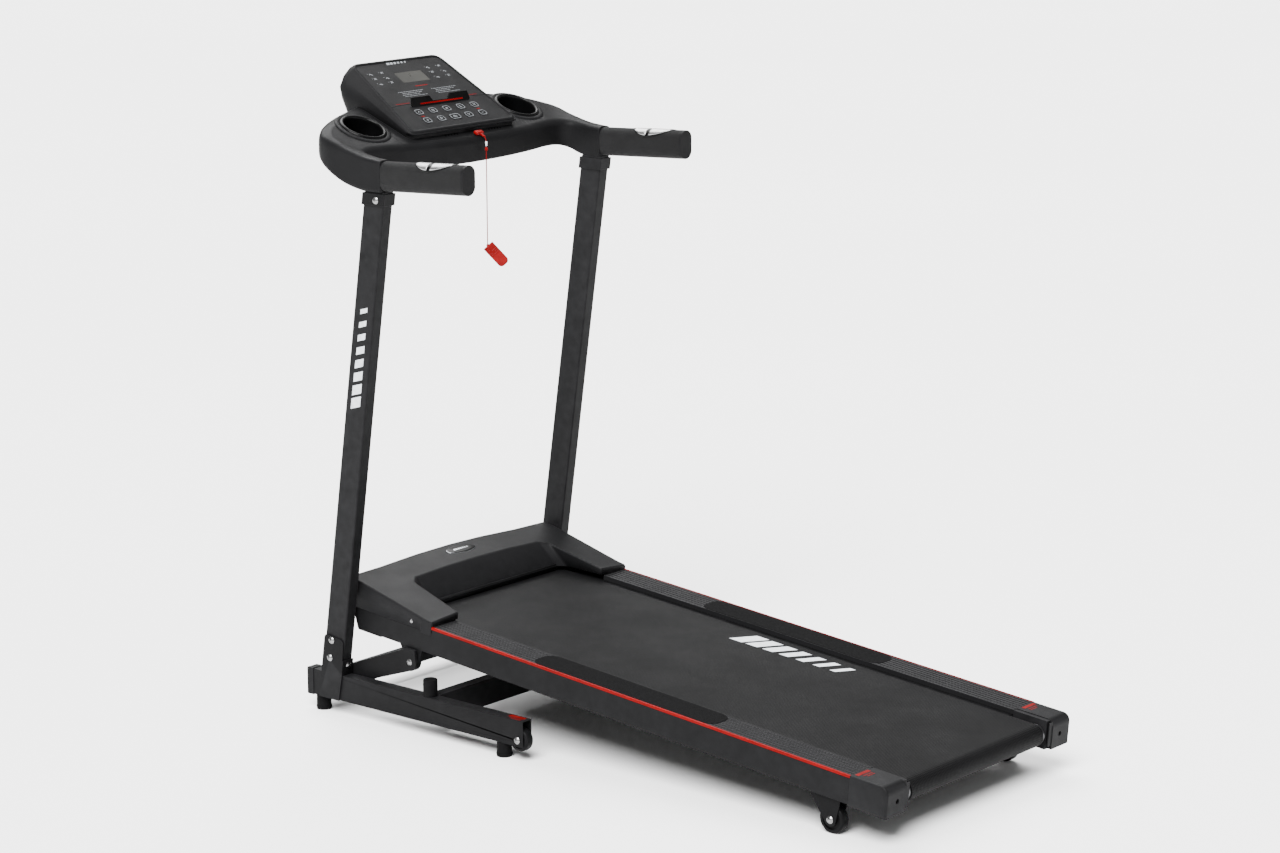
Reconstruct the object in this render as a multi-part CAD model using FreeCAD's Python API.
"""Folding home treadmill. Millimetres, +Z up, +Y towards the console, +X to the runner's right.

Everything is drawn with its origin MIDDLE_Y behind the middle of the whole machine, and is moved
there at the end, so that the origin of the parts is on the floor under the middle. The running deck is drawn flat in its
own frame (x across, v along the deck towards the motor, w square to it, foot rails' top at w = 0) and
is then tipped up at the front by DECK_TILT.
"""

import FreeCAD, Part
import math
import os

V = FreeCAD.Vector
X_AXIS = V(1, 0, 0)
Y_AXIS = V(0, 1, 0)
Z_AXIS = V(0, 0, 1)

MIDDLE_Y = 12.05

# Deck
DECK_TILT = 5.05
DECK_HALF_WIDTH = 277.6
DECK_FRONT_TIP = V(0, 358.8, 200.3)
RAIL_WIDTH = 65.0
RAIL_REAR = -967.3
CAP_REAR = -1046.8
CAP_WIDTH = 55.6
HOOD_SLANT_FOOT = 93.0
PAD_REAR = -664.0
PAD_FRONT = -240.0
BEAM_WIDTH = 25.0
BEAM_BOTTOM = -51.8
BEAM_TOP = -4.0
SKIRT_SEAM = -11.5
TUBE_WALL = 1.8
BELT_HALF_WIDTH = 200.0
BELT_THICK = 1.6
ROLLER_R = 19.0
ROLLER_W = -28.6
ROLLER_GAP = 0.3
BELT_TOP_W = ROLLER_W + ROLLER_R + ROLLER_GAP + BELT_THICK
FRONT_ROLLER_V = 100.0
REAR_ROLLER_V = -1022.0
SHAFT_R = 6.0
RUN_CLEAR = 0.05
MOTOR_V = 163.0
MOTOR_W = -7.0
MOTOR_R = 36.0
FRONT_PULLEY_R = 22.0
MOTOR_PULLEY_R = 11.0
PULLEY_X = -223.0
INLET_X = -238.0

# Fold hinge
HINGE_Y = 410.0
HINGE_Z = 126.0
HINGE_PIN_R = 5.0

# Base
BASE_OUTER = 313.5
TUBE_W = 25.0
BASE_LOW = 28.0
BASE_HIGH = 78.0
BASE_REAR = 103.0
BASE_FRONT = 635.0
SHOE_FRONT = 653.0
BASE_WHEEL_R = 22.0
BASE_WHEEL_Y = 116.6
BASE_WHEEL_Z = 39.8
DECK_WHEEL_R = 25.6
DECK_WHEEL_V = -929.0

# Uprights
UPRIGHT_FRONT_Y = 622.3
UPRIGHT_LEAN = 0.144
UPRIGHT_DEPTH = 50.5
UPRIGHT_TOP = 1010.0

# Console
TRAY_TILT = 23.0
TRAY_Y = 577.0
TRAY_Z = 1104.0
CUP_X = 212.0
CUP_R = 37.5
CUP_DEPTH = 52.0
FACE_TILT = 31.35
FACE_FOOT = V(0, 517.0, 1093.0)
FACE_LENGTH = 213.0
FACE_HALF_LOW = 144.5
FACE_HALF_HIGH = 118.0
POD_REAR = 708.0
KEY_PITCH = 38.0
KEY_ROWS = (28.9, 54.6)
HANDLE_X = 304.0
HANDLE_TALL = 55.0
HANDLE_WIDE = 33.0
HANDLE_REAR_Y = 227.2
HANDLE_ROOT_Y = 431.0
HANDLE_REAR_Z = 1049.4
HANDLE_RISE = 3.0
TETHER_X = 26.0
TETHER_R = 1.0


def box(x0, x1, y0, y1, z0, z1):
    """Block between two corners."""
    return Part.makeBox(x1 - x0, y1 - y0, z1 - z0, V(x0, y0, z0))


def rod(centre, axis, length, radius):
    """Cylinder that starts at centre and runs along axis."""
    return Part.makeCylinder(radius, length, centre, axis)


def cross_rod(x0, x1, y, z, radius):
    """Cylinder along X from x0 to x1."""
    return rod(V(x0, y, z), X_AXIS, x1 - x0, radius)


def prism_x(points, x0, x1):
    """Prism along X whose outline is a list of (y, z)."""
    wire = Part.makePolygon([V(x0, y, z) for y, z in points + points[:1]])
    return Part.Face(wire).extrude(V(x1 - x0, 0, 0))


def prism_z(points, z0, z1):
    """Prism along Z whose outline is a list of (x, y)."""
    wire = Part.makePolygon([V(x, y, z0) for x, y in points + points[:1]])
    return Part.Face(wire).extrude(V(0, 0, z1 - z0))


def mirrored(shape):
    """The same piece on the other side of the machine."""
    return shape.mirror(V(0, 0, 0), X_AXIS)


def both(shape):
    """A left and a right piece in one list."""
    return [mirrored(shape), shape]


def fuse(shapes):
    """One solid from several that touch."""
    whole = shapes[0].multiFuse(shapes[1:]) if len(shapes) > 1 else shapes[0]
    return whole.removeSplitter()


def cut(shape, tools):
    """Shape without the tools."""
    return shape.cut(Part.makeCompound(tools)) if tools else shape


def rounded(shape, radius, pick):
    """Shape with a fillet on each edge that pick accepts, or as it was if none can be made."""
    edges = [edge for edge in shape.Edges if pick(edge)]
    return shape.makeFillet(radius, edges) if edges else shape


def along(edge, axis):
    """True for a straight edge parallel to axis."""
    if len(edge.Vertexes) != 2 or edge.Curve.TypeId != "Part::GeomLine":
        return False
    step = edge.Vertexes[1].Point - edge.Vertexes[0].Point
    return step.cross(axis).Length < 1e-3 * step.Length


def deck_placed(shape):
    """A piece drawn in the deck's flat frame, moved to where the deck lies."""
    placed = shape.copy()
    placed.rotate(V(0, 0, 0), X_AXIS, DECK_TILT)
    placed.translate(DECK_FRONT_TIP)
    return placed


def deck_point(v, w, x=0.0):
    """World position of a point given in the deck's frame."""
    turn = FreeCAD.Rotation(X_AXIS, DECK_TILT)
    return turn.multVec(V(x, v, w)) + DECK_FRONT_TIP


def deck_local(y, z):
    """Deck frame (v, w) of a world (y, z)."""
    turn = FreeCAD.Rotation(X_AXIS, -DECK_TILT)
    local = turn.multVec(V(0, y, z) - DECK_FRONT_TIP)
    return local.y, local.z


HINGE_V, HINGE_W = deck_local(HINGE_Y, HINGE_Z)


def face_placed(shape):
    """A piece drawn flat on the console's face (x across, y up the slope, z out), put in place."""
    placed = shape.copy()
    placed.rotate(V(0, 0, 0), X_AXIS, FACE_TILT)
    placed.translate(FACE_FOOT)
    return placed


def tray_height(y):
    """Height of the console tray's top plane at y."""
    return TRAY_Z + (y - TRAY_Y) * math.tan(math.radians(TRAY_TILT))


def button_bolt(head_face, direction, shank, radius=4.0, head_r=7.0, head_h=4.2):
    """Button-head bolt: head_face is the point where the head's underside sits, direction points outwards."""
    dome = Part.makeSphere(head_r * 1.25, V(0, 0, head_h - head_r * 1.25))
    head = rod(V(0, 0, 0), Z_AXIS, head_h, head_r).common(dome)
    socket_points = []
    for corner in range(7):
        angle = math.radians(60 * corner)
        socket_points.append(V(2.5 * math.cos(angle), 2.5 * math.sin(angle), head_h * 0.5))
    socket = Part.Face(Part.makePolygon(socket_points)).extrude(V(0, 0, 5))
    bolt = head.cut(socket)
    if shank:
        bolt = bolt.fuse(rod(V(0, 0, -shank), Z_AXIS, shank, radius))
    bolt.Placement = FreeCAD.Placement(head_face, FreeCAD.Rotation(Z_AXIS, direction))
    return bolt


# ---------------------------------------------------------------- base frame

def base_tubes():
    """Two side tubes and two cross tubes, welded at their faces."""
    inner = BASE_OUTER - TUBE_W
    outer = box(inner, BASE_OUTER, BASE_REAR, BASE_FRONT, BASE_LOW, BASE_HIGH)
    hollow = box(
        inner + TUBE_WALL, BASE_OUTER - TUBE_WALL, BASE_REAR - 1, BASE_FRONT + 1,
        BASE_LOW + TUBE_WALL, BASE_HIGH - TUBE_WALL,
    )
    wheel_slot = box(
        inner + TUBE_WALL, BASE_OUTER - TUBE_WALL, BASE_REAR - 1, BASE_WHEEL_Y + BASE_WHEEL_R + 3,
        BASE_LOW - 1, BASE_LOW + TUBE_WALL + 1,
    )
    axle_hole = cross_rod(inner - 1, BASE_OUTER + 1, BASE_WHEEL_Y, BASE_WHEEL_Z, 4.0)
    side = cut(outer, [hollow, wheel_slot, axle_hole])
    front = cross_tube(622, 652, 30, 60)
    middle = cross_tube(331, 356, BASE_LOW, BASE_HIGH)
    return both(side) + [front, middle]


def cross_tube(y0, y1, z0, z1):
    """Rectangular tube across the base, between its side tubes."""
    reach = BASE_OUTER - TUBE_W
    hollow = box(
        -reach - 1, reach + 1, y0 + TUBE_WALL, y1 - TUBE_WALL, z0 + TUBE_WALL, z1 - TUBE_WALL,
    )
    return box(-reach, reach, y0, y1, z0, z1).cut(hollow)


def base_end_shoes():
    """Plastic shoes that close the front ends of the side tubes."""
    inner = BASE_OUTER - TUBE_W
    body = box(inner, BASE_OUTER + 1.5, BASE_FRONT, SHOE_FRONT, BASE_LOW - 1.5, BASE_HIGH + 1.5)
    body = rounded(body, 4.0, lambda e: e.BoundBox.YMin > SHOE_FRONT - 0.1)
    plug = box(
        inner + TUBE_WALL, BASE_OUTER - TUBE_WALL, BASE_FRONT - 12, BASE_FRONT,
        BASE_LOW + TUBE_WALL, BASE_HIGH - TUBE_WALL,
    )
    return both(fuse([body, plug]))


def rubber_feet():
    """Four round feet under the side tubes and two taller posts on top of them."""
    centre_x = BASE_OUTER - TUBE_W / 2
    pads = []
    for y in (158.7, 620.9):
        pad = Part.makeCone(14.0, 15.0, 6.0, V(centre_x, y, 0)).fuse(
            rod(V(centre_x, y, 6.0), Z_AXIS, BASE_LOW - 6.0, 14.0)
        )
        pads.append(pad.removeSplitter())
    post = rod(V(centre_x - 1, 343.0, BASE_HIGH), Z_AXIS, 32.0, 13.5)
    pads.append(post.makeFillet(2.0, [e for e in post.Edges if e.BoundBox.ZMin > BASE_HIGH + 31]))
    return [piece for pad in pads for piece in both(pad)]


def upright_y(z):
    """Front edge of an upright at height z."""
    return UPRIGHT_FRONT_Y - UPRIGHT_LEAN * z


def upright_brackets():
    """Welded channels that hold the feet of the uprights."""
    outer_plate = prism_x(
        [(618.5, BASE_LOW), (566.5, BASE_LOW), (557.0, BASE_HIGH), (551.5, 148.0), (600.0, 155.0)],
        BASE_OUTER, BASE_OUTER + 3.0,
    )
    outer_plate = rounded(
        outer_plate, 8.0,
        lambda e: along(e, X_AXIS) and e.BoundBox.ZMin > 140,
    )
    inner = BASE_OUTER - TUBE_W
    rear_foot = upright_y(BASE_HIGH) - UPRIGHT_DEPTH - 0.2
    rear_top = upright_y(108) - UPRIGHT_DEPTH - 0.2
    flange = prism_x(
        [(rear_foot, BASE_HIGH), (rear_top, 108), (rear_top - 3, 108), (rear_foot - 3, BASE_HIGH)],
        inner, BASE_OUTER + 3.0,
    )
    bracket = fuse([outer_plate, flange])
    holes = []
    for y, z in ((582.0, 144.0), (587.7, 109.0)):
        holes.append(cross_rod(BASE_OUTER - 1, BASE_OUTER + 4, y, z, 4.0))
    return both(cut(bracket, holes))


def hinge_arms():
    """Arms that rise from the front cross tube to the fold hinge, with an ear round the pin."""
    x0, x1 = 279.8, 285.8
    arm = prism_x(
        [
            (622.0, 31.0), (622.0, 59.0), (557.0, 97.0), (430.0, 147.0), (427.0, 152.0),
            (396.0, 151.0), (393.5, 120.0), (412.0, 108.0), (496.0, 79.0), (585.0, 36.0),
        ],
        x0, x1,
    )
    ear = cross_rod(x0, x1, HINGE_Y, HINGE_Z, 17.0)
    arm = fuse([arm, ear])
    pin_hole = cross_rod(x0 - 1, x1 + 1, HINGE_Y, HINGE_Z, HINGE_PIN_R)
    return both(cut(arm, [pin_hole]))


def upright(outer_x):
    """Leaning rectangular tube, cut level at both ends."""
    def outline(z0, z1, front_in, rear_in):
        return [
            (upright_y(z0) - front_in, z0),
            (upright_y(z1) - front_in, z1),
            (upright_y(z1) - UPRIGHT_DEPTH + rear_in, z1),
            (upright_y(z0) - UPRIGHT_DEPTH + rear_in, z0),
        ]
    inner_x = outer_x - TUBE_W
    outer = prism_x(outline(BASE_HIGH, UPRIGHT_TOP, 0, 0), inner_x, outer_x)
    outer = rounded(outer, 3.0, lambda e: e.BoundBox.ZLength > 500)
    hollow = prism_x(
        outline(BASE_HIGH - 1, UPRIGHT_TOP + 1, TUBE_WALL, TUBE_WALL),
        inner_x + TUBE_WALL, outer_x - TUBE_WALL,
    )
    return outer.cut(hollow)


def frame_bolts():
    """Button-head bolts of the base frame, the wheel axles and the two hinge pins."""
    bolts = []
    outer = V(1, 0, 0)
    for y, z in ((582.0, 144.0), (587.7, 109.0)):
        bolts.append(button_bolt(V(BASE_OUTER + 3.0, y, z), outer, 3.0))
    flange_face = upright_y(98) - UPRIGHT_DEPTH - 3.3
    square_to_flange = V(0, -1, -UPRIGHT_LEAN)
    bolts.append(button_bolt(V(BASE_OUTER - 12, flange_face, 98), square_to_flange, 0, head_r=6.0))
    bolts.append(button_bolt(V(BASE_OUTER, BASE_WHEEL_Y, BASE_WHEEL_Z), outer, TUBE_W))
    bolts.append(button_bolt(V(285.8, HINGE_Y, HINGE_Z), outer, 22.0, HINGE_PIN_R, 8.0, 2.4))
    bolts.append(button_bolt(V(BASE_OUTER + 2.6, 446.7, 994.3), outer, 2.4))
    return [piece for bolt in bolts for piece in both(bolt)]


# ---------------------------------------------------------------- deck

def deck_beams():
    """Side beams of the deck: box tubes, notched under the hood, with a plate end for the rear roller."""
    x1 = DECK_HALF_WIDTH
    x0 = x1 - BEAM_WIDTH

    def outline(inset, longer):
        return [
            (RAIL_REAR - longer, BEAM_BOTTOM + inset),
            (188 + longer, BEAM_BOTTOM + inset),
            (204 + longer, SKIRT_SEAM - inset),
            (-inset, SKIRT_SEAM - inset),
            (-inset, BEAM_TOP - inset),
            (RAIL_REAR - longer, BEAM_TOP - inset),
        ]
    tube = prism_x(outline(0, 0), x0, x1)
    tube = tube.cut(prism_x(outline(TUBE_WALL, 3), x0 + TUBE_WALL, x1 - TUBE_WALL))
    plate = box(x0, x0 + 5, RAIL_REAR - 72, RAIL_REAR + 20, -45, -12)
    beam = fuse([tube, plate])
    shaft_holes = []
    for v in (FRONT_ROLLER_V, REAR_ROLLER_V):
        shaft_holes.append(cross_rod(x0 - 1, x0 + 6, v, ROLLER_W, SHAFT_R))
    return both(deck_placed(cut(beam, shaft_holes)))


def deck_cross_members():
    """Three cross tubes between the belt's two plies and a floor tube under the motor."""
    x1 = DECK_HALF_WIDTH - BEAM_WIDTH
    members = []
    for v in (20.0, -450.0, -900.0):
        outer = box(-x1, x1, v - 20, v + 20, -44.0, -27.6)
        inner = box(-x1 - 1, x1 + 1, v - 18.2, v + 18.2, -42.2, -29.4)
        members.append(deck_placed(outer.cut(inner)))
    motor_rail = box(-x1, x1, 140, 180, BEAM_BOTTOM + 0.5, BEAM_BOTTOM + 3.5)
    members.append(deck_placed(motor_rail))
    return members


def deck_hinge_brackets():
    """Plates under the beams that turn on the hinge pins."""
    x0, x1 = 270.5, 277.0
    top = BEAM_BOTTOM
    plate = prism_x(
        [(HINGE_V - 17, HINGE_W), (HINGE_V - 22, top), (HINGE_V + 34, top), (HINGE_V + 17, HINGE_W)],
        x0, x1,
    )
    plate = fuse([plate, cross_rod(x0, x1, HINGE_V, HINGE_W, 17.0)])
    hole = cross_rod(x0 - 1, x1 + 1, HINGE_V, HINGE_W, HINGE_PIN_R + RUN_CLEAR)
    return both(deck_placed(plate.cut(hole)))


def running_board():
    """Laminated board that the belt slides over."""
    top = ROLLER_W + ROLLER_R + ROLLER_GAP - 0.1
    board = box(-250, 250, RAIL_REAR + 1, FRONT_ROLLER_V - 30, top - 14, top)
    ease = [e for e in board.Edges if along(e, X_AXIS)]
    return [deck_placed(board.makeChamfer(3.0, ease))]


def deck_cushions():
    """Rubber blocks between the cross tubes and the board."""
    blocks = []
    top = ROLLER_W + ROLLER_R + ROLLER_GAP - 14.1
    for v in (20.0, -450.0, -900.0):
        block = rod(V(225, v, -27.6), Z_AXIS, top + 27.6, 14.0)
        blocks += both(deck_placed(block))
    return blocks


def stadium(v0, v1, radius, x0, x1):
    """Round-ended bar along the deck round two centres at the rollers' height."""
    upper = ROLLER_W + radius
    lower = ROLLER_W - radius
    edges = [
        Part.LineSegment(V(x0, v0, upper), V(x0, v1, upper)).toShape(),
        Part.Arc(V(x0, v1, upper), V(x0, v1 + radius, ROLLER_W), V(x0, v1, lower)).toShape(),
        Part.LineSegment(V(x0, v1, lower), V(x0, v0, lower)).toShape(),
        Part.Arc(V(x0, v0, lower), V(x0, v0 - radius, ROLLER_W), V(x0, v0, upper)).toShape(),
    ]
    return Part.Face(Part.Wire(edges)).extrude(V(x1 - x0, 0, 0))


def running_belt():
    """Endless belt round both rollers."""
    inner_r = ROLLER_R + ROLLER_GAP
    outer = stadium(REAR_ROLLER_V, FRONT_ROLLER_V, inner_r + BELT_THICK, -BELT_HALF_WIDTH, BELT_HALF_WIDTH)
    inner = stadium(REAR_ROLLER_V, FRONT_ROLLER_V, inner_r, -BELT_HALF_WIDTH - 1, BELT_HALF_WIDTH + 1)
    return [deck_placed(outer.cut(inner))]


def foot_rails():
    """Ribbed foot rails with a lip down beside the belt."""
    x0 = DECK_HALF_WIDTH - RAIL_WIDTH
    x1 = DECK_HALF_WIDTH - 3.5
    rail = fuse([
        box(x0, x1, RAIL_REAR, 0, BEAM_TOP, 0),
        box(x0, x0 + 2, RAIL_REAR, 0, BEAM_TOP - 5, BEAM_TOP),
    ])
    grooves = []
    for index in range(6):
        x = x0 + 8.0 + index * 9.0
        grooves.append(box(x, x + 1.6, RAIL_REAR - 1, 1, -0.8, 1))
    pad_pocket = pad_outline(x0 + 1.6, x1 - 1.4, -1.2, 2.0)
    return both(deck_placed(cut(rail, grooves + [pad_pocket])))


def pad_outline(x0, x1, w0, w1):
    """Long pad with round corners at both ends."""
    pad = box(x0, x1, PAD_REAR, PAD_FRONT, w0, w1)
    return rounded(pad, 22.0, lambda e: along(e, Z_AXIS))


def rail_pads():
    """Anti-slip pads let into the foot rails."""
    x0 = DECK_HALF_WIDTH - RAIL_WIDTH
    x1 = DECK_HALF_WIDTH - 3.5
    return both(deck_placed(pad_outline(x0 + 1.6, x1 - 1.4, -1.2, 0.8)))


def trim_strips():
    """Coloured beads along the outer top corners of the deck."""
    x1 = DECK_HALF_WIDTH
    bead = box(x1 - 3.5, x1 + 0.8, RAIL_REAR, 0, BEAM_TOP, 0.6)
    bead = rounded(bead, 1.6, lambda e: along(e, Y_AXIS) and e.BoundBox.XMin > x1 and e.BoundBox.ZMin > 0)
    return both(deck_placed(bead))


def rear_caps():
    """Moulded caps at the rear corners, each with a hole to reach the belt's tension bolt."""
    x1 = DECK_HALF_WIDTH + 0.6
    x0 = x1 - CAP_WIDTH
    shell = box(x0, x1, CAP_REAR, RAIL_REAR, -54.7, 0.6)
    shell = rounded(shell, 15.0, lambda e: along(e, X_AXIS) and e.BoundBox.YMax < CAP_REAR + 1
                    and e.BoundBox.ZMin > -1)
    shell = rounded(shell, 4.0, lambda e: e.BoundBox.XMin > x1 - 0.1 and e.BoundBox.ZMax > -54
                    and e.BoundBox.YMin < RAIL_REAR - 0.1)
    hollow = box(x0 - 1, x1 - 2.6, CAP_REAR + 3, RAIL_REAR + 1, -52.2, -2.4)
    hollow = rounded(hollow, 12.5, lambda e: along(e, X_AXIS) and e.BoundBox.YMax < CAP_REAR + 3.1
                     and e.BoundBox.ZMin > -3)
    hole = rod(V(246.6, CAP_REAR - 1, -30), Y_AXIS, 8, 4.6)
    shell = cut(shell, [hollow, hole])
    collar = box(212.6, x0, CAP_REAR + 8, RAIL_REAR, -9.0, -1.0)
    collar_end = box(212.6, 222.0, REAR_ROLLER_V - 23.5, REAR_ROLLER_V - 21.5, -48, -4)
    floor = box(212.6, x0 + 4, CAP_REAR + 8, RAIL_REAR, -54.7, -52.2)
    inner_wall = box(212.6, 214.6, CAP_REAR + 8, RAIL_REAR, -52.2, -1.0)
    shaft_room = cross_rod(211, 216, REAR_ROLLER_V, ROLLER_W, SHAFT_R + 1.5)
    back_wall = box(212.6, x0 + 3, CAP_REAR + 8, CAP_REAR + 11, -52.2, -1.0)
    cap = fuse([shell, collar, floor, inner_wall, back_wall, collar_end])
    return both(deck_placed(cap.cut(shaft_room)))


def hood_front(w):
    """Place of the hood's front face, which leans back so that the deck clears the floor as it folds."""
    return 227.0 - 0.4255 * (32.0 - w)


def hood_side_outline(inset):
    """Side view of the motor hood in the deck's frame."""
    low = SKIRT_SEAM + 0.3 if inset == 0 else -70.0
    return [
        (inset, low),
        (inset, 9.5 - inset),
        (16.0, 11.0 - inset),
        (190.0, 41.0 - inset),
        (216.0 - inset * 0.5, 43.2 - inset),
        (224.0 - inset, 40.0 - inset),
        (hood_front(32.0) - inset * 1.1, 32.0 - inset * 0.5),
        (hood_front(low) - inset * 1.1, low),
    ]


def hood_cutaway(grow):
    """The space above the belt that the hood is open to, with side walls and a slanted front."""
    slant = prism_x(
        [(-10, 3.0), (HOOD_SLANT_FOOT + grow, 3.0), (HOOD_SLANT_FOOT + grow + 84, 70.0), (-10, 70)],
        -260, 260,
    )
    if grow:
        slant = slant.fuse(box(-260, 260, -10, HOOD_SLANT_FOOT + grow, -80, 3.1))
    plan = prism_z(
        [(-205 - grow, -10), (205 + grow, -10), (188 + grow, 145), (188 + grow, 200),
         (-188 - grow, 200), (-188 - grow, 145)],
        -60, 80,
    )
    return slant.common(plan)


def motor_hood():
    """Moulded hood over the motor, with arms that run back over the foot rails."""
    wall = 3.0
    half = DECK_HALF_WIDTH + 0.6
    outer = prism_x(hood_side_outline(0), -half, half)
    outer = rounded(
        outer, 7.0,
        lambda e: abs(e.BoundBox.XMin) > half - 0.1 and abs(e.BoundBox.XMax) > half - 0.1
        and e.BoundBox.ZMin > 8 and e.BoundBox.YLength > 8,
    )
    outer = outer.cut(hood_cutaway(0))
    inner = prism_x(hood_side_outline(wall), -half + wall, half - wall)
    inner = inner.cut(hood_cutaway(wall))
    hood = outer.cut(inner)
    over_rails = box(-half + wall, half - wall, -5, HOOD_SLANT_FOOT, -60, 1.0)
    over_belt = box(-204, 204, -5, HOOD_SLANT_FOOT, -60, 3.1)
    roller_room = box(-252, 252, -5, FRONT_ROLLER_V + 40, -60, BELT_TOP_W + 2.2)
    hood = cut(hood, [over_rails, over_belt, roller_room])
    low = SKIRT_SEAM + 0.3
    apron = prism_x(
        [
            (hood_front(low), low), (hood_front(BEAM_BOTTOM), BEAM_BOTTOM),
            (hood_front(BEAM_BOTTOM) - wall, BEAM_BOTTOM), (hood_front(low) - wall, low),
        ],
        -252.0, 252.0,
    )
    return [deck_placed(fuse([hood, apron]).cut(inlet_block(0.3, 6.0)))]


def inlet_block(grow, longer):
    """Block let into the hood's front wall, with its face in line with the wall."""
    low, high = -36.0 - grow, 2.0 + grow
    return prism_x(
        [
            (hood_front(low) - 14 - longer, low), (hood_front(low) + 0.6 + longer, low),
            (hood_front(high) + 0.6 + longer, high), (hood_front(high) - 14 - longer, high),
        ],
        INLET_X - 12 - grow, INLET_X + 12 + grow,
    )


def hood_badge():
    """Plain oval badge on the hood."""
    disc = Part.Ellipse(V(0, 0, 0), 39.0, 17.0).toShape()
    badge = Part.Face(Part.Wire([disc])).extrude(V(0, 0, 2.0))
    slope = math.degrees(math.atan2(41.0 - 11.0, 190.0 - 16.0))
    badge.rotate(V(0, 0, 0), X_AXIS, slope)
    badge.translate(V(0, 168.0, 41.0 - 22 * math.tan(math.radians(slope))))
    return [deck_placed(badge)]


def belly_pan():
    """Sheet that closes the motor space from below, with a slot for cooling air."""
    pan = box(-277, 277, 128, 187, BEAM_BOTTOM - 2.0, BEAM_BOTTOM)
    slots = []
    for index in range(7):
        x = -90 + index * 30
        slots.append(box(x - 3, x + 3, 140, 175, BEAM_BOTTOM - 3, BEAM_BOTTOM + 1))
    return [deck_placed(cut(pan, slots))]


def motor():
    """Permanent-magnet motor with its feet."""
    can = cross_rod(-178, -38, MOTOR_V, MOTOR_W, MOTOR_R)
    end = cross_rod(-38, -28, MOTOR_V, MOTOR_W, MOTOR_R - 5)
    feet = box(-160, -60, MOTOR_V - 16, MOTOR_V + 16, BEAM_BOTTOM + 3.5, MOTOR_W - MOTOR_R + 6)
    body = fuse([can, end, feet])
    bore = cross_rod(-179, -140, MOTOR_V, MOTOR_W, SHAFT_R + RUN_CLEAR)
    return [deck_placed(body.cut(bore))]


def motor_pulley():
    """Motor shaft with its flywheel and small pulley."""
    shaft = cross_rod(-231, -142, MOTOR_V, MOTOR_W, SHAFT_R)
    flywheel = cross_rod(-202, -182, MOTOR_V, MOTOR_W, 34.0)
    pulley = cross_rod(PULLEY_X - 8, PULLEY_X + 8, MOTOR_V, MOTOR_W, MOTOR_PULLEY_R)
    return [deck_placed(fuse([shaft, flywheel, pulley]))]


def drive_belt():
    """Ribbed belt from the motor to the front roller."""
    def loop(gap):
        r0 = FRONT_PULLEY_R + gap
        r1 = MOTOR_PULLEY_R + gap
        run = V(0, MOTOR_V - FRONT_ROLLER_V, MOTOR_W - ROLLER_W)
        lean = math.atan2(run.z, run.y)
        spread = math.acos((r0 - r1) / run.Length)
        half_width = 6 if gap > ROLLER_GAP else 7
        x = PULLEY_X - half_width

        def on(centre_v, centre_w, r, angle):
            return V(x, centre_v + r * math.cos(angle), centre_w + r * math.sin(angle))
        up, down = lean + spread, lean - spread
        edges = [
            Part.Arc(
                on(FRONT_ROLLER_V, ROLLER_W, r0, up), on(FRONT_ROLLER_V, ROLLER_W, r0, lean + math.pi),
                on(FRONT_ROLLER_V, ROLLER_W, r0, down),
            ).toShape(),
            Part.LineSegment(
                on(FRONT_ROLLER_V, ROLLER_W, r0, down), on(MOTOR_V, MOTOR_W, r1, down)
            ).toShape(),
            Part.Arc(
                on(MOTOR_V, MOTOR_W, r1, down), on(MOTOR_V, MOTOR_W, r1, lean), on(MOTOR_V, MOTOR_W, r1, up)
            ).toShape(),
            Part.LineSegment(
                on(MOTOR_V, MOTOR_W, r1, up), on(FRONT_ROLLER_V, ROLLER_W, r0, up)
            ).toShape(),
        ]
        return Part.Face(Part.Wire(edges)).extrude(V(2 * half_width, 0, 0))
    return [deck_placed(loop(2.8).cut(loop(ROLLER_GAP)))]


def roller(v, pulley):
    """Turning roller tube with solid ends bored for its fixed shaft."""
    body = cross_rod(-206, 206, v, ROLLER_W, ROLLER_R)
    if pulley:
        body = body.fuse(cross_rod(-231, -206, v, ROLLER_W, 14.0))
        body = body.fuse(cross_rod(PULLEY_X - 8, PULLEY_X + 8, v, ROLLER_W, FRONT_PULLEY_R))
    chamber = cross_rod(-192, 192, v, ROLLER_W, ROLLER_R - 2.5)
    bore = cross_rod(-240, 240, v, ROLLER_W, SHAFT_R + RUN_CLEAR)
    return [deck_placed(cut(body.removeSplitter(), [chamber, bore]))]


def roller_shafts():
    """Fixed shafts of the two rollers."""
    reach = DECK_HALF_WIDTH - BEAM_WIDTH + 5
    return [
        deck_placed(cross_rod(-reach, reach, v, ROLLER_W, SHAFT_R))
        for v in (FRONT_ROLLER_V, REAR_ROLLER_V)
    ]


def motor_controller():
    """Finned motor-control board box beside the motor."""
    case = box(20, 150, 146, 186, BEAM_BOTTOM + 3.5, -20)
    fins = [box(20 + 10 * n, 23 + 10 * n, 147, 185, -20, -6) for n in range(13)]
    return [deck_placed(fuse([case] + fins))]


def wheel_brackets():
    """Folded plates that hold the rear transport wheels."""
    top = BEAM_BOTTOM
    axle_v, axle_w = DECK_WHEEL_V, deck_wheel_w()
    pieces = [box(246.0, 271.0, axle_v - 20, axle_v + 46, top - 2.5, top)]
    for x0 in (246.0, 268.5):
        side = prism_x(
            [
                (axle_v - 18, top), (axle_v + 46, top), (axle_v + 44, top - 8),
                (axle_v + 11.5, axle_w - 4), (axle_v - 11.5, axle_w - 4),
            ],
            x0, x0 + 2.5,
        )
        pieces.append(side)
        pieces.append(cross_rod(x0, x0 + 2.5, axle_v, axle_w, 12.0))
    bracket = fuse(pieces).cut(cross_rod(240, 275, axle_v, axle_w, 4.0))
    return both(deck_placed(bracket))


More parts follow.
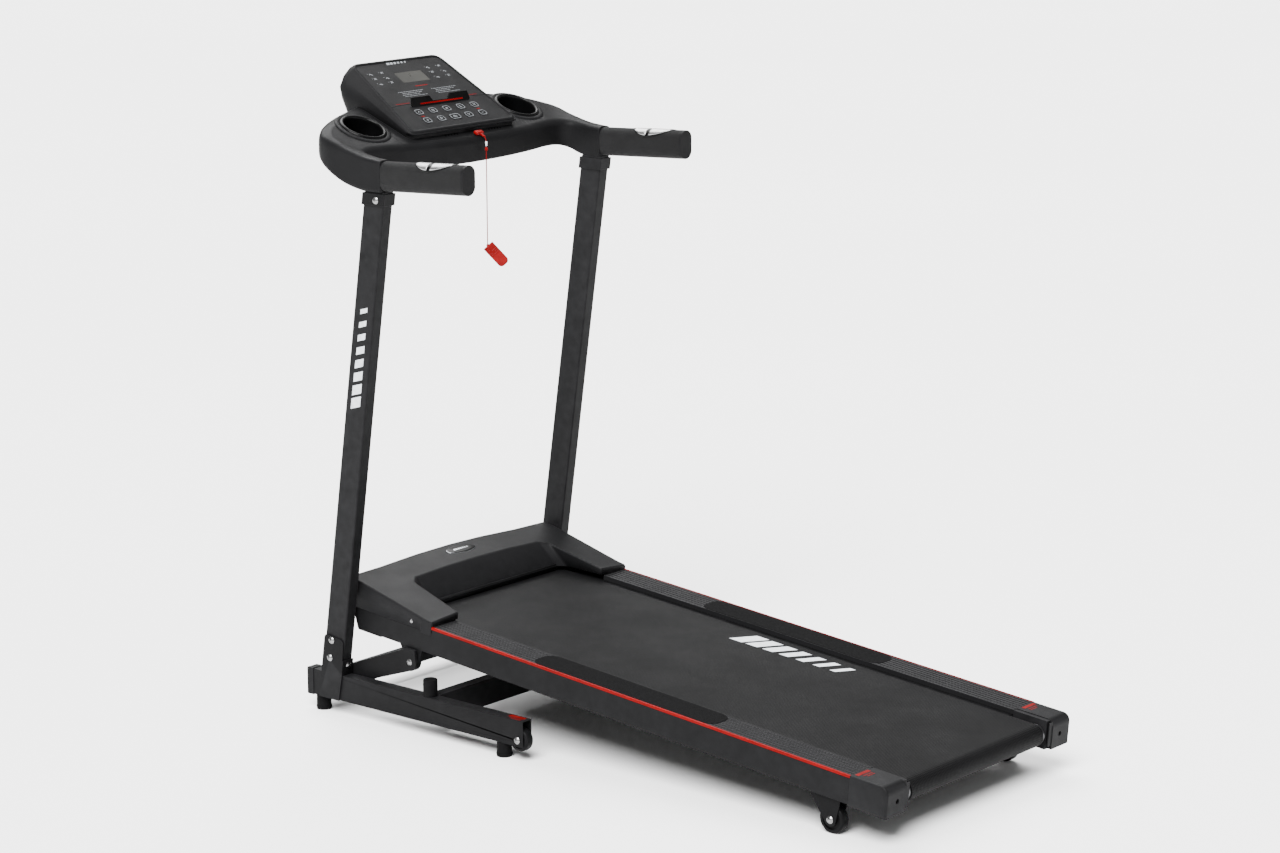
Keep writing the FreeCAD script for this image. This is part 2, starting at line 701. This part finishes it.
def deck_wheel_w():
    """Height of the rear wheels' axle in the deck's frame, so that the wheels stand on the floor."""
    tilt = math.radians(DECK_TILT)
    drop = DECK_WHEEL_R - DECK_FRONT_TIP.z - DECK_WHEEL_V * math.sin(tilt)
    return drop / math.cos(tilt)


def wheel(centre, radius, width, bore_r):
    """Moulded wheel with a round tread and a bore, along X, centred on centre."""
    x0 = centre.x - width / 2
    tyre = cross_rod(x0, x0 + width, centre.y, centre.z, radius)
    tyre = tyre.makeFillet(width * 0.22, [e for e in tyre.Edges if e.Curve.TypeId == "Part::GeomCircle"])
    tools = [cross_rod(x0 - 1, x0 + width + 1, centre.y, centre.z, bore_r)]
    for x, y in ((x0 - 1, 0), (x0 + width - 2.5, 1)):
        ring = cross_rod(x, x + 3.5, centre.y, centre.z, radius * 0.72)
        tools.append(ring.cut(cross_rod(x - 1, x + 5, centre.y, centre.z, bore_r + 4)))
    return cut(tyre, tools)


def rear_wheel(side):
    """One rear transport wheel of the deck."""
    centre = deck_point(DECK_WHEEL_V, deck_wheel_w(), side * 258.5)
    return [wheel(centre, DECK_WHEEL_R, 18.0, 4.0 + RUN_CLEAR)]


def base_wheel(side):
    """One transport wheel in the rear end of a base tube."""
    centre = V(side * (BASE_OUTER - TUBE_W / 2), BASE_WHEEL_Y, BASE_WHEEL_Z)
    return [wheel(centre, BASE_WHEEL_R, 18.0, 4.0 + RUN_CLEAR)]


def deck_screws():
    """Bolts of the deck: hood screws, wheel axles and the belt's tension bolts."""
    pieces = []
    outer = V(1, 0, 0)
    hood = button_bolt(V(DECK_HALF_WIDTH + 0.6, 51.6, -1.0), outer, 0, head_r=4.6, head_h=1.4)
    axle = button_bolt(V(271.0, DECK_WHEEL_V, deck_wheel_w()), outer, 27.0)
    tension = rod(V(246.6, CAP_REAR + 8, ROLLER_W), Y_AXIS, REAR_ROLLER_V - CAP_REAR - 8 - SHAFT_R, 4.0)
    for piece in (hood, axle, tension):
        pieces += both(deck_placed(piece))
    return pieces


def power_inlet():
    """Mains inlet with a breaker in the hood's front wall, on the runner's left."""
    pocket = box(INLET_X - 8, INLET_X + 8, hood_front(-14) - 6, hood_front(2) + 5, -14, -2)
    return [deck_placed(inlet_block(0, 0).cut(pocket))]


# ---------------------------------------------------------------- console

def tray_plane_slab(top_offset, low_offset):
    """Slab between two planes parallel to the tray, by their heights over it."""
    points = []
    for y, offset in ((380, top_offset), (760, top_offset), (760, low_offset), (380, low_offset)):
        points.append((y, tray_height(y) + offset))
    return prism_x(points, -340, 340)


def tray_outline(inset):
    """Plan of the tray: a lip bowed towards the runner, sides and a rear edge."""
    lip_y = 496 + inset
    side_x = 317 - inset
    points = {
        "lip_left": V(-205, lip_y + 14, 900), "lip_mid": V(0, lip_y, 900), "lip_right": V(205, lip_y + 14, 900),
    }
    edges = [
        Part.Arc(points["lip_left"], points["lip_mid"], points["lip_right"]).toShape(),
        Part.LineSegment(V(205, lip_y + 14, 900), V(side_x, lip_y + 18, 900)).toShape(),
        Part.LineSegment(V(side_x, lip_y + 18, 900), V(side_x, 566 - inset, 900)).toShape(),
        Part.Arc(
            V(side_x, 566 - inset, 900), V(293 - inset, 604 - inset, 900), V(250 - inset, 622 - inset, 900)
        ).toShape(),
        Part.Arc(
            V(250 - inset, 622 - inset, 900), V(0, 660 - inset, 900), V(inset - 250, 622 - inset, 900)
        ).toShape(),
        Part.Arc(
            V(inset - 250, 622 - inset, 900), V(inset - 293, 604 - inset, 900), V(-side_x, 566 - inset, 900)
        ).toShape(),
        Part.LineSegment(V(-side_x, 566 - inset, 900), V(-side_x, lip_y + 18, 900)).toShape(),
        Part.LineSegment(V(-side_x, lip_y + 18, 900), V(-205, lip_y + 14, 900)).toShape(),
    ]
    return Part.Face(Part.Wire(edges)).extrude(V(0, 0, 320))


def console_arm(inset):
    """Solid of one side arm of the console, from the tray back to the handle's root."""
    x0, x1 = 287.5 + inset, 318.5 - inset
    return prism_x(
        [
            (HANDLE_ROOT_Y + inset, 1007 + inset), (HANDLE_ROOT_Y + inset, 1068 - inset),
            (520, 1076 - inset), (575 - inset, 1100 - inset), (575 - inset, 1040 + inset),
            (540, 1022 + inset), (505, 1007 + inset),
        ],
        x0, x1,
    )


def console_tray():
    """Upper shell of the console with its arms, cup openings and the safety-key slot."""
    wall = 3.0
    outer = tray_outline(0).common(tray_plane_slab(0, -46))
    inner = tray_outline(wall).common(tray_plane_slab(-wall, -90))
    arms = both(console_arm(0))
    rooms = both(console_arm(wall))
    shell = fuse([outer] + arms)
    tools = [inner.cut(Part.makeCompound(arms))]
    for room in rooms:
        tools.append(room)
    for side in (-1, 1):
        tools.append(cup_rod(side, -90, 60, CUP_R + 3.4))
        tools.append(upright_room(side))
    tools += both(handle_run(HANDLE_REAR_Y, HANDLE_ROOT_Y + 42, 45.6, 23.6))
    tools.append(box(TETHER_X - 6, TETHER_X + 6, 506, 514, 1060, 1090))
    return [cut(shell, tools)]


def upright_room(side):
    """Room for an upright's top inside the arm, open below."""
    x0, x1 = BASE_OUTER - TUBE_W, BASE_OUTER
    room = prism_x(
        [
            (upright_y(1000) + 4, 1000), (upright_y(UPRIGHT_TOP) + 4, UPRIGHT_TOP + 1),
            (upright_y(UPRIGHT_TOP) - UPRIGHT_DEPTH - 1, UPRIGHT_TOP + 1),
            (upright_y(1000) - UPRIGHT_DEPTH - 1, 1000),
        ],
        x0 - 0.5, x1 + 0.5,
    )
    return room if side > 0 else mirrored(room)


def console_underside():
    """Lower cover of the console, let into the tray from below."""
    plate = tray_outline(3.3).common(tray_plane_slab(-43.0, -45.5))
    tools = both(console_arm(-0.3))
    for side in (-1, 1):
        tools.append(cup_rod(side, -90, 60, CUP_R + 3.4))
    return [cut(plate, tools)]


def cup_rod(side, low, high, radius):
    """Cylinder on a cup's axis, which is square to the tray, between two heights over the tray."""
    cylinder = rod(V(0, 0, low), Z_AXIS, high - low, radius)
    cylinder.rotate(V(0, 0, 0), X_AXIS, TRAY_TILT)
    cylinder.translate(V(side * CUP_X, TRAY_Y, TRAY_Z))
    return cylinder


def cup_liners():
    """Cups with a raised ring that drop into the tray."""
    wall = cup_rod(1, 0.3 - CUP_DEPTH, 0.3, CUP_R + 3)
    flange = cup_rod(1, 0.3, 3.3, CUP_R + 8)
    room = cup_rod(1, 3.3 - CUP_DEPTH, 30, CUP_R)
    return both(fuse([wall, flange]).cut(room))


def pod_blank(inset):
    """Outside of the display pod: wedge whose sides lean in towards the top, as the face's sides do."""
    deeper = 20 if inset else 0
    foot_rear = tray_height(650) - (3 if inset else 0)
    face_top = face_point(FACE_LENGTH)
    side = prism_x(
        [
            (514 + inset, tray_height(514) + 0.3 - deeper), (512.5 + inset, 1089 - inset),
            (517 + inset * 0.5, 1093.5 - inset), (face_top.y - inset * 0.5, face_top.z + 0.5 - inset),
            (face_top.y + 6 - inset, face_top.z + 0.7 - inset), (POD_REAR - inset, face_top.z - 6 - inset),
            (POD_REAR - 3 - inset, foot_rear), (655 - inset, tray_height(655) + 0.3),
        ],
        -160, 160,
    )
    low, high = FACE_HALF_LOW + 3.5 - inset, FACE_HALF_HIGH + 3.0 - inset
    lean = (low - high) / (face_top.z - FACE_FOOT.z)
    below = 93.0
    outline = [
        (-low - lean * below, FACE_FOOT.z - below), (low + lean * below, FACE_FOOT.z - below),
        (high - lean * below, face_top.z + below), (lean * below - high, face_top.z + below),
    ]
    wire = Part.makePolygon([V(x, 480, z) for x, z in outline + outline[:1]])
    return side.common(Part.Face(wire).extrude(V(0, 260, 0)))


def face_point(up_slope):
    """Point on the middle line of the console's face."""
    lean = math.radians(FACE_TILT)
    return FACE_FOOT + V(0, up_slope * math.cos(lean), up_slope * math.sin(lean))


def face_trapezoid(margin, n0, n1):
    """Flat plate on the console's face, inside its edges by margin."""
    low_y = margin
    high_y = FACE_LENGTH - margin
    taper = (FACE_HALF_LOW - FACE_HALF_HIGH) / FACE_LENGTH
    return prism_z(
        [
            (-FACE_HALF_LOW + margin + taper * low_y, low_y), (FACE_HALF_LOW - margin - taper * low_y, low_y),
            (FACE_HALF_LOW - margin - taper * high_y, high_y),
            (-FACE_HALF_LOW + margin + taper * high_y, high_y),
        ],
        n0, n1,
    )


def console_pod():
    """Display housing: a shell that stands on the tray and carries the face."""
    shell = pod_blank(0).cut(pod_blank(3.0))
    opening = face_placed(face_trapezoid(6.0, -8.0, 8.0))
    return [shell.cut(opening)]


def console_face():
    """Overlay panel with the display's window and ten key openings."""
    panel = face_trapezoid(6.3, -2.5, 0.0)
    tools = [box(-36.3, 36.3, 142.7, 174.3, -1.2, 1)]
    tools.append(box(-32, 32, 146, 171, -4, 1))
    for x, y in key_places():
        tools.append(key_blank(x, y, -4, 1, 0.3))
    return [face_placed(cut(panel, tools))]


def key_places():
    """Centres of the ten keys on the face, row by row."""
    return [((column - 2) * KEY_PITCH, row) for row in KEY_ROWS for column in range(5)]


def key_blank(x, y, n0, n1, grow=0.0):
    """Eight-sided key prism; the middle key of the lower row is wider."""
    wide = 13.0 if (x == 0 and y == KEY_ROWS[0]) else 9.5
    half_x, half_y, snip = wide + grow, 7.5 + grow, 3.0
    outline = [
        (x - half_x + snip, y - half_y), (x + half_x - snip, y - half_y), (x + half_x, y - half_y + snip),
        (x + half_x, y + half_y - snip), (x + half_x - snip, y + half_y), (x - half_x + snip, y + half_y),
        (x - half_x, y + half_y - snip), (x - half_x, y - half_y + snip),
    ]
    return prism_z(outline, n0, n1)


def console_key(x, y):
    """One key cap."""
    return [face_placed(key_blank(x, y, -3.2, 0.9))]


def lcd_window():
    """Clear window over the display."""
    return [face_placed(box(-36.0, 36.0, 143.0, 174.0, -1.2, -0.1))]


def console_board():
    """Circuit board under the face, with the display module on it."""
    board = box(-90, 90, 18, 190, -8.5, -7.0)
    module = box(-31.5, 31.5, 146.5, 170.5, -7.0, -1.6)
    return [face_placed(fuse([board, module]))]


def tablet_rest():
    """Ledge across the face that holds a tablet, with two raised tabs."""
    pieces = [box(-66, 66, 84, 92, 0.0, 6.0)]
    for x in (-42, 42):
        tab = prism_z([(x - 24, 84), (x + 24, 84), (x + 24, 86.5), (x - 24, 86.5)], 0, 16)
        tab = rounded(tab, 6.0, lambda e: along(e, Y_AXIS) and e.BoundBox.ZMin > 15)
        pieces.append(tab)
    return [face_placed(fuse(pieces))]


def handle_section(x, y, z, tall, wide):
    """Upright stadium outline in a plane square to Y."""
    half = (tall - wide) / 2
    r = wide / 2
    edges = [
        Part.LineSegment(V(x + r, y, z - half), V(x + r, y, z + half)).toShape(),
        Part.Arc(V(x + r, y, z + half), V(x, y, z + half + r), V(x - r, y, z + half)).toShape(),
        Part.LineSegment(V(x - r, y, z + half), V(x - r, y, z - half)).toShape(),
        Part.Arc(V(x - r, y, z - half), V(x, y, z - half - r), V(x + r, y, z - half)).toShape(),
    ]
    return Part.Face(Part.Wire(edges))


def handle_run(y0, y1, tall, wide):
    """Round-ended bar along a handle between two places on its axis."""
    slope = -math.tan(math.radians(HANDLE_RISE))
    z0 = HANDLE_REAR_Z + (y0 - HANDLE_REAR_Y) * slope
    face = handle_section(HANDLE_X, y0, z0, tall, wide)
    return face.extrude(V(0, y1 - y0, (y1 - y0) * slope))


def handle_bars():
    """Steel handle tubes inside the grips."""
    tube = handle_run(HANDLE_REAR_Y + 6, HANDLE_ROOT_Y + 40, 45, 23)
    bore = handle_run(HANDLE_REAR_Y + 5, HANDLE_ROOT_Y + 41, 41.4, 19.4)
    bar = tube.cut(bore)
    return both(bar)


def upright_sleeves():
    """Collars over the tops of the uprights, bolted through."""
    def ring(z0, z1, grow):
        return prism_x(
            [
                (upright_y(z0) + grow, z0), (upright_y(z1) + grow, z1),
                (upright_y(z1) - UPRIGHT_DEPTH - grow, z1), (upright_y(z0) - UPRIGHT_DEPTH - grow, z0),
            ],
            BASE_OUTER - TUBE_W - grow, BASE_OUTER + grow,
        )
    sleeve = ring(984, 1006.7, 2.6).cut(ring(980, 1010, 0.2))
    return both(cut(sleeve, [cross_rod(BASE_OUTER, BASE_OUTER + 5, 446.7, 994.3, 4.0)]))


def grips():
    """Foam sleeves on the handles."""
    sleeve = handle_run(HANDLE_REAR_Y + 6, HANDLE_ROOT_Y - 0.5, HANDLE_TALL, HANDLE_WIDE)
    core = handle_run(HANDLE_REAR_Y + 5, HANDLE_ROOT_Y + 1, 45.4, 23.4)
    return both(sleeve.cut(core))


def grip_caps():
    """Flat plugs that close the handles' ends."""
    disc = handle_run(HANDLE_REAR_Y, HANDLE_REAR_Y + 6, HANDLE_TALL, HANDLE_WIDE)
    plug = handle_run(HANDLE_REAR_Y + 6, HANDLE_REAR_Y + 22, 41.0, 19.0)
    return both(fuse([disc, plug]))


def pulse_sensors():
    """Hand-pulse plates: two curved metal pads and a bezel on top of each grip."""
    ring = handle_run(272, 366, HANDLE_TALL + 2.0, HANDLE_WIDE + 2.0)
    ring = ring.cut(handle_run(271, 367, HANDLE_TALL + 0.4, HANDLE_WIDE + 0.4))
    top = box(HANDLE_X - 20, HANDLE_X + 20, 270, 370, 1058, 1090)
    return both(ring.common(top))


# ---------------------------------------------------------------- safety key

def safety_key():
    """Magnetic safety key that sits on the console's lip."""
    y, z = 510.0, tray_height(510)
    blade = box(-5, 5, -2.5, 2.5, -6, 1)
    head = box(-10, 10, -8, 2.2, 0.4, 7)
    head = rounded(head, 2.4, lambda e: True)
    eye = box(-2, 2, -19, -7, 2.5, 5.0)
    key = fuse([blade, head, eye])
    key.rotate(V(0, 0, 0), X_AXIS, TRAY_TILT)
    key.translate(V(TETHER_X, y, z))
    return [key]


TETHER_ROUTE = [
    (26.0, 491.6, 1072.4),
    (26.0, 488.5, 1067.6),
    (26.1, 487.0, 1061.9),
    (26.4, 486.6, 866.0),
]


def cord_tube(points, radius):
    """Tube along straight runs joined by tangent arcs, and its length."""
    route = [V(*p) for p in points]
    edges = []
    start = route[0]
    length = 0.0
    radii = []
    for before, corner, after in zip(route, route[1:], route[2:]):
        run_in, run_out = corner - before, after - corner
        turn = run_in.getAngle(run_out)
        shorter = min(run_in.Length, run_out.Length)
        bend = 0.45 * shorter / math.tan(turn / 2)
        radii.append(round(bend, 2))
        set_back = 0.45 * shorter
        into = corner - run_in.normalize() * set_back
        out = corner + run_out.normalize() * set_back
        middle_dir = ((into + out) * 0.5 - corner).normalize()
        to_centre = math.hypot(bend, set_back)
        middle = corner + middle_dir * (to_centre - bend)
        edges.append(Part.LineSegment(start, into).toShape())
        edges.append(Part.Arc(into, middle, out).toShape())
        start = out
    edges.append(Part.LineSegment(start, route[-1]).toShape())
    wire = Part.Wire(edges)
    length = wire.Length
    first = edges[0].tangentAt(edges[0].FirstParameter)
    section = Part.Wire([Part.Circle(route[0], first, radius).toShape()])
    tube = wire.makePipeShell([section], True, False)
    print("cord radii", radii, "length", round(length, 1))
    print("cord volume / (section x length)", round(tube.Volume / (math.pi * radius ** 2 * length), 4))
    return tube


def tether_cord():
    """Thin cord from the safety key down to the clothes clip."""
    return [cord_tube(TETHER_ROUTE, TETHER_R)]


CLIP_TOP = V(26.4, 486.6, 865.0)
CLIP_PIVOT = V(0, -1.6, -17.0)
CLIP_PIN_R = 1.2


def clip_turned(shape):
    """A piece of the clip drawn upright below the cord's end, hung askew as it swings."""
    placed = shape.copy()
    placed.rotate(V(0, 0, 0), Y_AXIS, 42)
    placed.rotate(V(0, 0, 0), Z_AXIS, 135)
    placed.translate(CLIP_TOP)
    return placed


def clip_body():
    """Fixed half of the clothes clip, ribbed at the finger end."""
    plate = box(-11, 11, 0.6, 3.6, -50, -1.0)
    plate = rounded(plate, 8.0, lambda e: along(e, Y_AXIS) and e.BoundBox.ZMax < -45)
    ribs = [box(-11, 11, 3.6, 4.8, -4.6 - 3.6 * n, -2.6 - 3.6 * n) for n in range(6)]
    low, high = CLIP_PIVOT.z - 3.5, CLIP_PIVOT.z + 3.5
    lugs = [box(x, x + 2, CLIP_PIVOT.y - 1.6, 0.7, low, high) for x in (-10, 8)]
    pin = cross_rod(-10, 10, CLIP_PIVOT.y, CLIP_PIVOT.z, CLIP_PIN_R)
    eye = box(-2.5, 2.5, -1.5, 2.5, -3.0, 1.5)
    return [clip_turned(fuse([plate, pin, eye] + ribs + lugs))]


def clip_jaw():
    """Moving half of the clothes clip."""
    plate = box(-7.6, 7.6, -5.6, -2.8, -50, -4.5)
    plate = rounded(plate, 6.0, lambda e: along(e, Y_AXIS) and e.BoundBox.ZMax < -45)
    boss = cross_rod(-7.6, 7.6, CLIP_PIVOT.y, CLIP_PIVOT.z, 2.0)
    hole = cross_rod(-11, 11, CLIP_PIVOT.y, CLIP_PIVOT.z, CLIP_PIN_R + RUN_CLEAR)
    return [clip_turned(fuse([plate, boss]).cut(hole))]


# ---------------------------------------------------------------- output

def nodes():
    """Every node's name with its list of solids."""
    table = {
        "base_tubes": base_tubes(),
        "base_end_shoes": base_end_shoes(),
        "rubber_feet": rubber_feet(),
        "upright_brackets": upright_brackets(),
        "hinge_arms": hinge_arms(),
        "uprights": both(upright(BASE_OUTER)),
        "frame_bolts": frame_bolts(),
        "handle_bars": handle_bars() + upright_sleeves(),
        "grips": grips(),
        "grip_caps": grip_caps(),
        "pulse_sensors": pulse_sensors(),
        "console_tray": console_tray(),
        "console_underside": console_underside(),
        "cup_liners": cup_liners(),
        "console_pod": console_pod(),
        "console_face": console_face(),
        "console_board": console_board(),
        "lcd_window": lcd_window(),
        "tablet_rest": tablet_rest(),
        "deck_beams": deck_beams(),
        "deck_cross_members": deck_cross_members(),
        "deck_hinge_brackets": deck_hinge_brackets(),
        "running_board": running_board(),
        "deck_cushions": deck_cushions(),
        "running_belt": running_belt(),
        "foot_rails": foot_rails(),
        "rail_pads": rail_pads(),
        "trim_strips": trim_strips(),
        "rear_caps": rear_caps(),
        "motor_hood": motor_hood(),
        "hood_badge": hood_badge(),
        "belly_pan": belly_pan(),
        "motor": motor(),
        "drive_belt": drive_belt(),
        "motor_controller": motor_controller(),
        "roller_shafts": roller_shafts(),
        "wheel_brackets": wheel_brackets(),
        "deck_screws": deck_screws(),
        "power_inlet": power_inlet(),
        "motor_pulley": motor_pulley(),
        "front_roller": roller(FRONT_ROLLER_V, True),
        "rear_roller": roller(REAR_ROLLER_V, False),
        "rear_wheel_left": rear_wheel(-1),
        "rear_wheel_right": rear_wheel(1),
        "base_wheel_left": base_wheel(-1),
        "base_wheel_right": base_wheel(1),
        "safety_key": safety_key(),
        "tether_cord": tether_cord(),
        "clip_body": clip_body(),
        "clip_jaw": clip_jaw(),
    }
    for index, (x, y) in enumerate(key_places(), start=1):
        table["console_key_%02d" % index] = console_key(x, y)
    return table


os.makedirs("parts", exist_ok=True)
table = nodes()
print("nodes", len(table))
placed = []
for name, solids in table.items():
    shape = solids[0].copy() if len(solids) == 1 else Part.makeCompound(solids)
    if not shape.isValid() or any(len(solid.Solids) != 1 for solid in solids):
        print("CHECK", name, shape.isValid(), [len(solid.Solids) for solid in solids])
    shape.translate(V(0, -MIDDLE_Y, 0))
    shape.exportStep("parts/" + name + ".step")
    placed.append(shape)
limits = Part.makeCompound(placed).BoundBox
print("x %.1f %.1f  y %.1f %.1f  z %.1f %.1f" % (
    limits.XMin, limits.XMax, limits.YMin, limits.YMax, limits.ZMin, limits.ZMax,
))
